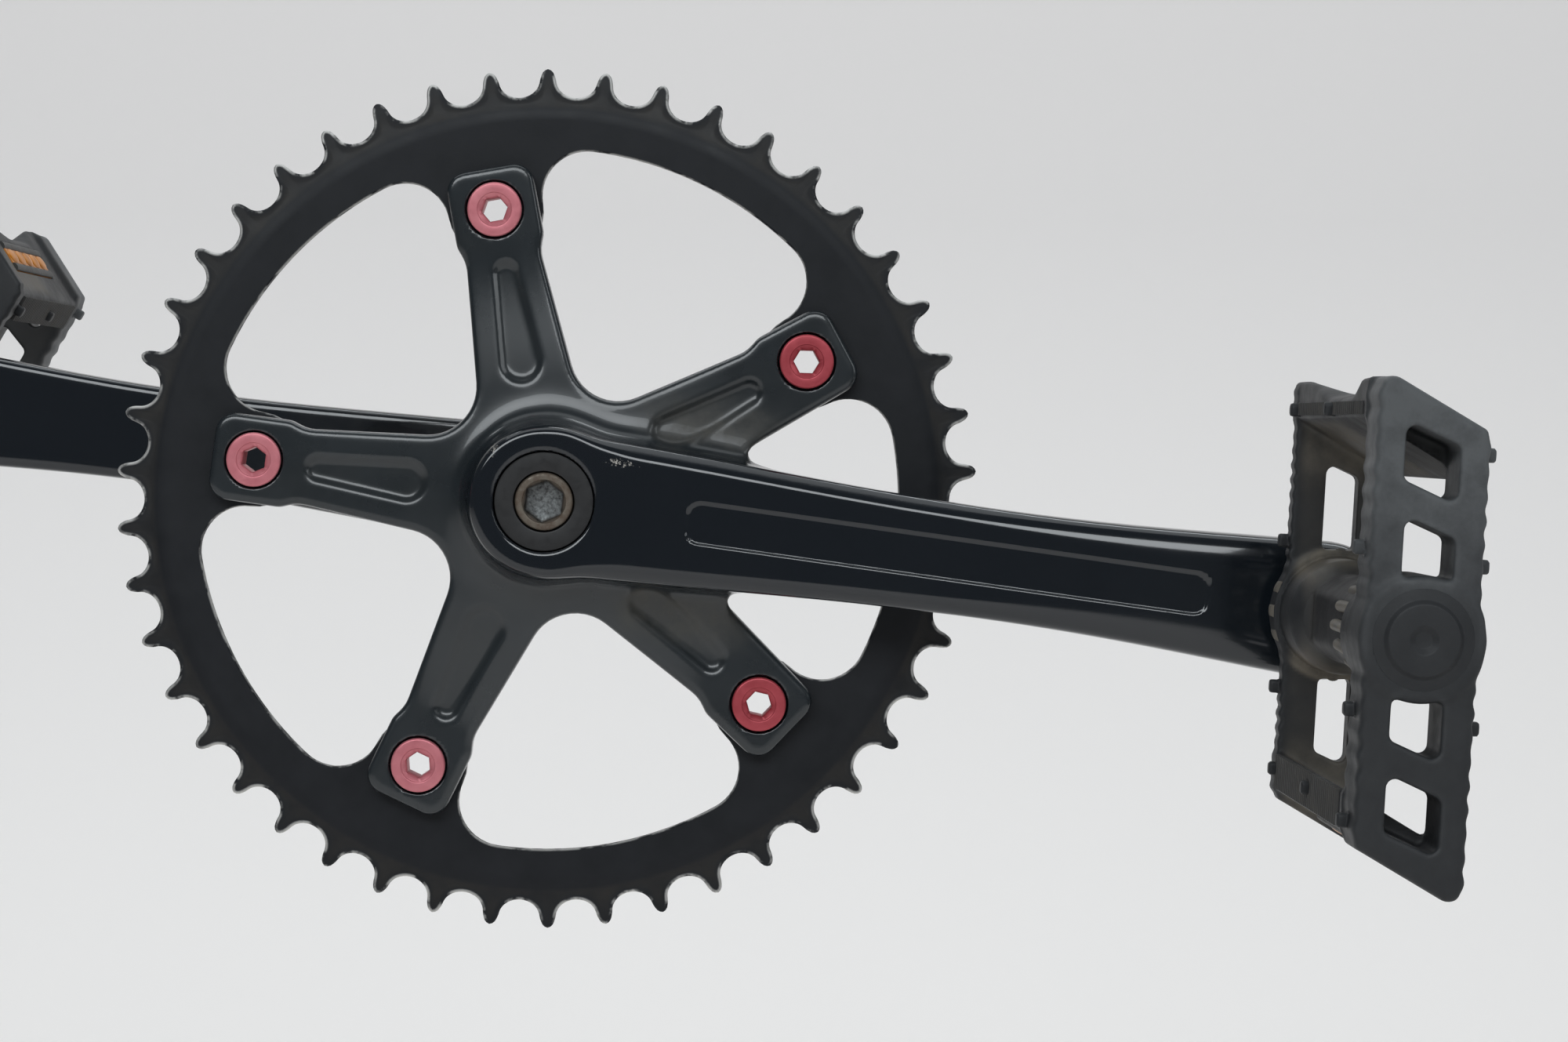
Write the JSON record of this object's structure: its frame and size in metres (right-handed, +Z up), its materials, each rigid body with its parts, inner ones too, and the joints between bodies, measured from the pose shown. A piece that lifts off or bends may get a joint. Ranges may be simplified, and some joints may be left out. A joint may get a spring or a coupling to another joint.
{
  "type": "bicycle crankset",
  "caption": "Black single-ring bicycle crankset with forged arms, five-arm spider, red chainring bolts, square-taper cartridge bottom bracket and platform pedals.",
  "frame": {"origin": "on the spindle axis, midway across the bottom bracket shell", "axes": "+X towards the front of the bicycle, +Y from the chain side to the left side along the spindle, +Z up"},
  "size_m": [0.3814, 0.3658, 0.1908],
  "materials": {
    "forged_black": "gloss black anodised forging",
    "ring_black": "matte black anodised",
    "red_anodised": "satin red anodised",
    "bolt_steel": "steel with surface rust",
    "dark_steel": "dark machined steel",
    "bright_steel": "bright ground steel",
    "seal_rubber": "matte",
    "pedal_plastic": "moulded, dusty",
    "amber": "moulded reflector lens"
  },
  "bodies": {
    "bottom_bracket": {"bb_sleeve": "dark_steel", "bb_drive_cup": "dark_steel", "bb_left_cup": "dark_steel", "bb_drive_outer_race": "bright_steel", "bb_left_outer_race": "bright_steel", "bb_drive_seal": "seal_rubber", "bb_left_seal": "seal_rubber"},
    "crankset": {"spindle": "dark_steel", "bb_drive_inner_race": "bright_steel", "bb_left_inner_race": "bright_steel", "drive_crank_arm": "forged_black", "left_crank_arm": "forged_black", "chainring": "ring_black", "chainring_bolt_1": "red_anodised", "chainring_bolt_2": "red_anodised", "chainring_bolt_3": "red_anodised", "chainring_bolt_4": "red_anodised", "chainring_bolt_5": "red_anodised", "chainring_nut_1": "red_anodised", "chainring_nut_2": "red_anodised", "chainring_nut_3": "red_anodised", "chainring_nut_4": "red_anodised", "chainring_nut_5": "red_anodised", "drive_crank_bolt": "bolt_steel", "left_crank_bolt": "bolt_steel", "drive_extractor_ring": "ring_black", "left_extractor_ring": "ring_black", "right_pedal_axle": "bright_steel", "right_pedal_cone": "bright_steel", "right_pedal_lock_washer": "bright_steel", "right_pedal_lock_nut": "bright_steel", "left_pedal_axle": "bright_steel", "left_pedal_cone": "bright_steel", "left_pedal_lock_washer": "bright_steel", "left_pedal_lock_nut": "bright_steel"},
    "bb_drive_balls": {"bb_drive_ball_cage": "bright_steel"},
    "bb_left_balls": {"bb_left_ball_cage": "bright_steel"},
    "right_pedal": {"right_pedal_body": "pedal_plastic", "right_pedal_end_cap": "pedal_plastic", "right_pedal_inner_bush": "bright_steel", "right_pedal_outer_cup": "bright_steel", "right_pedal_front_reflector": "amber", "right_pedal_rear_reflector": "amber"},
    "left_pedal": {"left_pedal_body": "pedal_plastic", "left_pedal_end_cap": "pedal_plastic", "left_pedal_inner_bush": "bright_steel", "left_pedal_outer_cup": "bright_steel", "left_pedal_front_reflector": "amber", "left_pedal_rear_reflector": "amber"},
    "right_pedal_balls": {"right_pedal_ball_ring": "bright_steel"},
    "left_pedal_balls": {"left_pedal_ball_ring": "bright_steel"}
  },
  "joints": [
    {"name": "crank_spin", "type": "hinge", "parent": "bottom_bracket", "child": "crankset", "pos_m": [0, 0, 0], "axis": [0, 1, 0], "continuous": true},
    {"name": "bb_drive_balls_spin", "type": "hinge", "parent": "bottom_bracket", "child": "bb_drive_balls", "pos_m": [0, -0.026, 0], "axis": [0, 1, 0], "continuous": true},
    {"name": "bb_left_balls_spin", "type": "hinge", "parent": "bottom_bracket", "child": "bb_left_balls", "pos_m": [0, 0.026, 0], "axis": [0, 1, 0], "continuous": true},
    {"name": "right_pedal_spin", "type": "hinge", "parent": "crankset", "child": "right_pedal", "pos_m": [0.16851, -0.075, -0.02248], "axis": [0, 1, 0], "continuous": true},
    {"name": "left_pedal_spin", "type": "hinge", "parent": "crankset", "child": "left_pedal", "pos_m": [-0.16851, 0.075, 0.02248], "axis": [0, 1, 0], "continuous": true},
    {"name": "right_pedal_balls_spin", "type": "hinge", "parent": "crankset", "child": "right_pedal_balls", "pos_m": [0.16851, -0.075, -0.02248], "axis": [0, 1, 0], "continuous": true},
    {"name": "left_pedal_balls_spin", "type": "hinge", "parent": "crankset", "child": "left_pedal_balls", "pos_m": [-0.16851, 0.075, 0.02248], "axis": [0, 1, 0], "continuous": true}
  ],
  "couplings": [
    {"joint": "bb_drive_balls_spin", "follows": "crank_spin", "ratio": 0.4156},
    {"joint": "bb_left_balls_spin", "follows": "crank_spin", "ratio": 0.4156},
    {"joint": "right_pedal_balls_spin", "follows": "right_pedal_spin", "ratio": 0.6189},
    {"joint": "left_pedal_balls_spin", "follows": "left_pedal_spin", "ratio": 0.6189}
  ]
}
